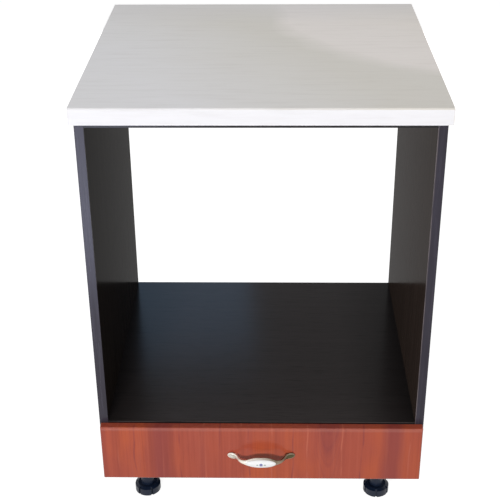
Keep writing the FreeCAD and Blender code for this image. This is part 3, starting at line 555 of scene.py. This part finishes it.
def dress_edge_bands():
    """Bands on the front edges of the boards: violet-black on the sides, black on the level boards."""
    violet = rgb(0.025, 0.022, 0.031), rgb(0.038, 0.034, 0.048)
    black = rgb(0.008, 0.007, 0.008), rgb(0.013, 0.012, 0.014)
    # Painted highlights on the right band's inner arris and on the shelf band's upper arris
    right_band_highlight = ArrisHighlight(axis=X, place=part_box("right_side_edge_band")[0].x, width=0.0017,
                        pale=rgb(0.125, 0.105, 0.110))
    shelf_band_highlight = ArrisHighlight(axis=Z, place=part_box("shelf_edge_band")[1].z, width=0.0010,
                        pale=rgb(0.060, 0.050, 0.046))
    left = dark_edge_band("dark_edge_band_left", Z, *violet, sheen=0.25)
    right = dark_edge_band("dark_edge_band_right", Z, *violet, sheen=0.17, arris=right_band_highlight)
    shelf = dark_edge_band("dark_edge_band_shelf", X, *black, sheen=0.06, arris=shelf_band_highlight)
    level = dark_edge_band("dark_edge_band_level", X, *black, sheen=0.25)
    dress(["left_side_edge_band"], left)
    dress(["right_side_edge_band"], right)
    dress(["shelf_edge_band"], shelf)
    dress(["bottom_edge_band", "front_rail_edge_band"], level)


def dress_worktop():
    """Worktop: a painted reflection on the top, a front edge painted lighter, and a white backing under the
    core.
    """
    # The top's tones are a painted reflection of the room, with painted shade at the back
    top = worktop_laminate("worktop_laminate", cool=rgb(0.719, 0.712, 0.726), dull=rgb(0.644, 0.619, 0.573),
                           warm=rgb(0.770, 0.725, 0.695), tan=rgb(0.725, 0.682, 0.630),
                           shaded=rgb(0.645, 0.630, 0.645))
    # The front edge is a copy painted lighter than the top, as if lit more, and lighter still towards the
    # right where less light falls
    light, lighter = rgb(0.758, 0.755, 0.762), rgb(0.802, 0.798, 0.812)
    edge = worktop_laminate("worktop_front_edge", cool=light, dull=lighter, warm=lighter, tan=lighter,
                            shaded=light)
    dress(["worktop_laminate"], top, [(FRONT, edge)])
    dress(both("worktop_{}_end_band"), top)
    dress(["worktop_core"], chipboard(), [(DOWN, white_melamine())])


def dress_fasteners():
    """Screws and nails without a recess, roller axles and screw caps."""
    dress(["carcass_screws", "drawer_bottom_nails"], zinc_steel())
    axle_steel = metal("axle_steel", rgb(0.5, 0.5, 0.5), rough=0.28, patch_cycles=400)
    dress(["front_roller_axles", "rear_roller_axles"], axle_steel)
    dress(["screw_caps"], plastic("dark_cap", rgb(0.022, 0.018, 0.016), rough=0.42))


def dress_runners_and_feet():
    """Steel runners, nylon rollers and black plastic feet."""
    dress(both("{}_runner_channel") + both("{}_drawer_rail"), coated_steel())
    dress(corners("{}_{}_roller"), plastic("nylon", rgb(0.74, 0.72, 0.66), rough=0.4))
    black = plastic("black_plastic", rgb(0.0076, 0.0136, 0.0320), rough=0.34, sheen=0.3)
    dress(corners("{}_{}_foot") + corners("{}_{}_foot_socket"), black)


def dress_drawer():
    """Drawer front, box and handle."""
    white = white_melamine()
    face = cherry_foil("cherry_foil", sheen=0.26, edge_highlight=0.115)
    upper_edge = cherry_foil("cherry_foil_top", sheen=0.03, edge_highlight=0.0)
    dress(["drawer_front"], face, [(UP, upper_edge), (BACK, white)])
    dress(["drawer_left_side", "drawer_right_side", "drawer_box_front", "drawer_box_back"], white,
          [(DOWN, chipboard())])
    dress(["drawer_bottom"], hardboard(), [(UP, white)])
    dress(["handle_bow"], antique_bronze())
    dress(["handle_insert"], porcelain())


# Driver recesses in the screw heads, as shares of a head's radius, and the rounding of its rim by its height
CROSS_ARM, CROSS_HALF = 0.62, 0.13
HEXAGON_RADIUS = 0.45
RECESS_DEPTH, RECESS_FLOOR = 0.45, 0.5
RIM_ROUND = 0.45
RIM_STEPS = 4

# Lengths: how near vertices are one, how near they are level, and how far above a head its tool starts
WELD = 1e-6
CLOSE = 10 * WELD
ABOVE_HEAD = 0.0002

# Angles: faces flatter than the first are joined, and edges sharper than the second stay sharp
FLAT_ANGLE = math.radians(1)
SHARP_ANGLE = math.radians(30)

# Turn from one screw's recess to the next, so that no two stand alike
NEXT_TURN = math.sqrt(2)

CROSS_SCREWS = {"carcass": ("worktop_screws", "runner_screws", "foot_screws"),
                "drawer": ("rail_screws", "handle_screws", "front_screws")}
SOCKET_SCREWS = {"drawer": ("drawer_box_screws",)}


def cross_outline():
    """Corners of a cross recess in a head of radius 1."""
    quarter = [(CROSS_ARM, CROSS_HALF), (CROSS_HALF, CROSS_HALF), (CROSS_HALF, CROSS_ARM)]
    turns = [Matrix.Rotation(index * math.pi / 2, 2) for index in range(4)]
    return [turn @ Vector(corner) for turn in turns for corner in quarter]


def hexagon_outline():
    """Corners of a hexagon socket in a head of radius 1."""
    return [Matrix.Rotation(index * math.pi / 3, 2) @ Vector((HEXAGON_RADIUS, 0)) for index in range(6)]


def separate_screws(mesh):
    """The vertices of each screw in a welded mesh."""
    waiting = set(mesh.verts)
    while waiting:
        screw, to_visit = set(), [next(vertex for vertex in mesh.verts if vertex in waiting)]
        while to_visit:
            vertex = to_visit.pop()
            if vertex in waiting:
                waiting.remove(vertex)
                screw.add(vertex)
                to_visit += [edge.other_vert(vertex) for edge in vertex.link_edges]
        yield screw


class Head:
    """A screw's head: its axis, the way it faces, the middle of its top, its radius, height and top rim."""

    def __init__(self, screw):
        low = Vector(min(vertex.co[axis] for vertex in screw) for axis in range(3))
        high = Vector(max(vertex.co[axis] for vertex in screw) for axis in range(3))
        self.axis = max(range(3), key=lambda axis: high[axis] - low[axis])
        self.middle = (low + high) / 2
        self.radius = max(self.off_axis(vertex) for vertex in screw)
        rim = [vertex for vertex in screw if self.off_axis(vertex) > self.radius - CLOSE]
        heights = [vertex.co[self.axis] for vertex in rim]
        self.height = max(heights) - min(heights)
        self.outward = 1 if sum(heights) / len(heights) > self.middle[self.axis] else -1
        top = high[self.axis] if self.outward > 0 else low[self.axis]
        self.middle[self.axis] = top
        self.top_rim = {vertex for vertex in rim if abs(vertex.co[self.axis] - top) < CLOSE}

    def off_axis(self, vertex):
        """How far a vertex lies from the screw's axis."""
        offset = vertex.co - self.middle
        offset[self.axis] = 0
        return offset.length

    def point(self, across, rise):
        """A point over the head, from its place across the head and its rise over the top."""
        place = self.middle.copy()
        place[(self.axis + 1) % 3] += across.x
        place[(self.axis + 2) % 3] += across.y
        place[self.axis] += self.outward * rise
        return place


def add_recess(tools, head, outline, turn):
    """Adds the tool of one recess: an outline that narrows from above the head to the recess's floor."""
    ring = [Matrix.Rotation(turn, 2) @ corner * head.radius for corner in outline]
    bottom = -RECESS_DEPTH * head.radius
    top = [tools.verts.new(head.point(corner, ABOVE_HEAD)) for corner in ring]
    floor = [tools.verts.new(head.point(corner * RECESS_FLOOR, bottom)) for corner in ring]
    tools.faces.new(top)
    tools.faces.new(floor[::-1])
    for index in range(len(ring)):
        after = (index + 1) % len(ring)
        tools.faces.new((top[index], floor[index], floor[after], top[after]))


def new_object(name, data):
    """An object with this mesh, camera or light, in the scene."""
    item = bpy.data.objects.new(name, data)
    bpy.context.scene.collection.objects.link(item)
    return item


def finished_mesh(name, shape):
    """A mesh made from a working shape, which is freed."""
    mesh = bpy.data.meshes.new(name)
    shape.to_mesh(mesh)
    shape.free()
    return mesh


def rounded_screws(node, outline):
    """The meshes of a node's screws with rounded rims, and of the tools of their recesses."""
    screws, tools = bmesh.new(), bmesh.new()
    screws.from_mesh(cad[node].data)
    bmesh.ops.remove_doubles(screws, verts=screws.verts, dist=WELD)
    bmesh.ops.dissolve_limit(screws, angle_limit=FLAT_ANGLE, verts=screws.verts, edges=screws.edges)
    for index, screw in enumerate(list(separate_screws(screws))):
        head = Head(screw)
        add_recess(tools, head, outline, turn=index * NEXT_TURN)
        rim = [edge for edge in screws.edges if head.top_rim.issuperset(edge.verts)]
        if head.height > WELD:
            bmesh.ops.bevel(screws, geom=rim, offset=RIM_ROUND * head.height, segments=RIM_STEPS, profile=0.5,
                            affect="EDGES", clamp_overlap=True)
    bmesh.ops.recalc_face_normals(tools, faces=tools.faces)
    return finished_mesh(node + "_whole", screws), finished_mesh(node + "_recess", tools)


def cut_recesses(node, body, outline):
    """Stands in for a node of screws: the same screws with rounded rims and a driver recess in each head."""
    whole, recesses = rounded_screws(node, outline)
    piece = new_object(node + "_recessed", whole)
    tool = new_object(node + "_tool", recesses)
    cut = piece.modifiers.new("recess", "BOOLEAN")
    cut.operation = "DIFFERENCE"
    cut.object = tool
    shaped = bpy.data.meshes.new_from_object(piece.evaluated_get(bpy.context.evaluated_depsgraph_get()))
    piece.modifiers.clear()
    piece.data = shaped
    bpy.data.objects.remove(tool)
    shaped.shade_smooth()
    shaped.set_sharp_from_angle(angle=SHARP_ANGLE)
    shaped.materials.clear()
    shaped.materials.append(zinc_steel())
    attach(piece, body)
    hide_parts(node)


def make_screws():
    """Screws with cross recesses, and confirmat screws with hexagon sockets."""
    for groups, outline in ((CROSS_SCREWS, cross_outline()), (SOCKET_SCREWS, hexagon_outline())):
        for body, nodes in groups.items():
            for node in nodes:
                cut_recesses(node, body, outline)


# Camera that took the photograph: its place, its turns in radians, and its lens and sensor in millimetres
CAMERA_PLACE = Vector((0.0159, -1.8836, 1.449))
CAMERA_YAW = -0.02103
CAMERA_PITCH = 0.49019
CAMERA_ROLL = 0.00783
CAMERA_LENS = 78.13
SENSOR_WIDTH = 36.0


def make_camera():
    """Sets the camera where the photograph was taken."""
    level_sight = Vector((math.sin(CAMERA_YAW), math.cos(CAMERA_YAW), 0))
    sight = level_sight * math.cos(CAMERA_PITCH) + DOWN * math.sin(CAMERA_PITCH)
    level_right = Vector((math.cos(CAMERA_YAW), -math.sin(CAMERA_YAW), 0))
    level_down = sight.cross(level_right)
    right = level_right * math.cos(CAMERA_ROLL) + level_down * math.sin(CAMERA_ROLL)
    down = level_down * math.cos(CAMERA_ROLL) - level_right * math.sin(CAMERA_ROLL)
    data = bpy.data.cameras.new("photo_camera")
    data.lens = CAMERA_LENS
    data.sensor_width = SENSOR_WIDTH
    camera = new_object("photo_camera", data)
    turned = Matrix((right, -down, -sight)).transposed().to_4x4()
    camera.matrix_world = Matrix.Translation(CAMERA_PLACE) @ turned
    bpy.context.scene.camera = camera


# Strength of the surround's even light
AMBIENT_LEVEL = 0.24

# Floor: its glow and its paleness as seen, its paleness to scattered light, and half its side
FLOOR_GLOW = 0.90
FLOOR_DIFFUSE = grey(0.42)
FLOOR_BOUNCE = grey(0.40)
FLOOR_HALF = 15.0


def seen_white(tree):
    """A value that is 1 for what is seen directly, mirrored or through glass, and 0 for scattered light."""
    path = tree.nodes.new("ShaderNodeLightPath")
    total = path.outputs["Is Camera Ray"]
    for ray in ("Is Glossy Ray", "Is Transmission Ray"):
        larger = tree.nodes.new("ShaderNodeMath")
        larger.operation = "MAXIMUM"
        tree.links.new(total, larger.inputs[0])
        tree.links.new(path.outputs[ray], larger.inputs[1])
        total = larger.outputs[0]
    return total


def make_world():
    """A white surround as seen, and a softer even light from it."""
    world = bpy.data.worlds.new("studio")
    bpy.context.scene.world = world
    world.use_nodes = True
    tree = world.node_tree
    background = tree.nodes["Background"]
    background.inputs["Color"].default_value = grey(1)
    strength = tree.nodes.new("ShaderNodeMapRange")
    strength.inputs["To Min"].default_value = AMBIENT_LEVEL
    tree.links.new(seen_white(tree), strength.inputs["Value"])
    tree.links.new(strength.outputs[0], background.inputs["Strength"])


def diffuse(tree, colour):
    """A plain diffuse shader."""
    shader = tree.nodes.new("ShaderNodeBsdfDiffuse")
    shader.inputs["Color"].default_value = colour
    return shader.outputs[0]


def choose(tree, share, first, second):
    """One of two shaders: the first where the share is 0, and the second where it is 1."""
    mix = tree.nodes.new("ShaderNodeMixShader")
    tree.links.new(share, mix.inputs["Fac"])
    tree.links.new(first, mix.inputs[1])
    tree.links.new(second, mix.inputs[2])
    return mix.outputs[0]


def floor_material():
    """Looks white with a soft shadow, sends back a little light, and is clear when seen from below."""
    material = bpy.data.materials.new("floor")
    material.use_nodes = True
    tree = material.node_tree
    tree.nodes.remove(tree.nodes["Principled BSDF"])
    glow = tree.nodes.new("ShaderNodeEmission")
    glow.inputs["Strength"].default_value = FLOOR_GLOW
    seen = tree.nodes.new("ShaderNodeAddShader")
    tree.links.new(glow.outputs[0], seen.inputs[0])
    tree.links.new(diffuse(tree, FLOOR_DIFFUSE), seen.inputs[1])
    above = choose(tree, seen_white(tree), diffuse(tree, FLOOR_BOUNCE), seen.outputs[0])
    from_below = tree.nodes.new("ShaderNodeNewGeometry").outputs["Backfacing"]
    clear = tree.nodes.new("ShaderNodeBsdfTransparent").outputs[0]
    tree.links.new(choose(tree, from_below, above, clear), tree.nodes["Material Output"].inputs["Surface"])
    return material


def make_floor():
    """A plain square floor at height 0."""
    ground = [(x * FLOOR_HALF, y * FLOOR_HALF, 0) for x, y in ((-1, -1), (1, -1), (1, 1), (-1, 1))]
    mesh = bpy.data.meshes.new("floor")
    mesh.from_pydata(ground, [], [(0, 1, 2, 3)])
    mesh.materials.append(floor_material())
    floor = new_object("floor", mesh)


def panel(name, place, aim, size, power, colour, mirrored=True, only=None):
    """A soft light panel that shines from a place towards a point.

    It may stay out of mirror reflections, and it may fall on one CAD node only.
    """
    data = bpy.data.lights.new(name, "AREA")
    data.shape = "RECTANGLE"
    data.size, data.size_y = size
    data.energy = power
    data.color = colour
    light = new_object(name, data)
    light.location = place
    light.rotation_euler = (Vector(aim) - Vector(place)).to_track_quat("-Z", "Y").to_euler()
    light.visible_camera = False
    light.visible_glossy = mirrored
    if only:
        lit = bpy.data.collections.new(name + "_lit")
        lit.objects.link(cad[only])
        light.light_linking.receiver_collection = lit


def make_lights():
    """Soft panels: two in front, a cool one on the floor, two above, two for one board each, one behind."""
    front_middle, top_right, top_left = (0, -0.1, 0.45), (0.1, 0, 0.85), (-0.1, 0, 0.85)
    panel("key_light", place=(-0.75, -3.4, 1.32), aim=front_middle, size=(1.2, 0.3), power=75,
          colour=(1.0, 0.985, 0.97), mirrored=False)
    panel("front_fill", place=(0.7, -3.3, 1.45), aim=front_middle, size=(1.4, 0.4), power=14,
          colour=(1.0, 0.97, 0.94), mirrored=False)
    panel("floor_left_light", place=(-0.60, -2.0, 0.01), aim=(-0.60, -2.0, 1.0), size=(0.42, 1.7), power=16,
          colour=(0.68, 0.74, 1.0))
    panel("top_light", place=(0.5, -0.12, 2.6), aim=top_right, size=(1.2, 0.6), power=9.8,
          colour=(1.0, 0.98, 0.955))
    panel("sky_light", place=(-0.8, -0.12, 2.6), aim=top_left, size=(1.0, 0.6), power=7.6,
          colour=(0.9, 0.95, 1.0))
    panel("back_light", place=(-0.27, 1.0, 0.72), aim=(-0.14, 0.2, 0.3), size=(0.46, 0.36), power=1.6,
          colour=(0.30, 0.60, 1.0), only="oven_shelf")
    panel("side_light", place=(-0.9, -1.6, 0.80), aim=(0.28, 0, 0.60), size=(0.5, 0.5), power=24,
          colour=(1.0, 0.80, 0.72), mirrored=False, only="right_side_panel")
    panel("rear_fill", place=(0, 3.0, 0.35), aim=(0, 0, 0.5), size=(1.6, 0.5), power=24,
          colour=(1.0, 0.97, 0.93), mirrored=False)


def make_scene():
    """Everything, in order."""
    dress_boards()
    dress_edge_bands()
    dress_worktop()
    dress_fasteners()
    dress_runners_and_feet()
    dress_drawer()
    make_screws()
    make_camera()
    make_world()
    make_floor()
    make_lights()
    bpy.context.scene.view_settings.view_transform = "Standard"


make_scene()
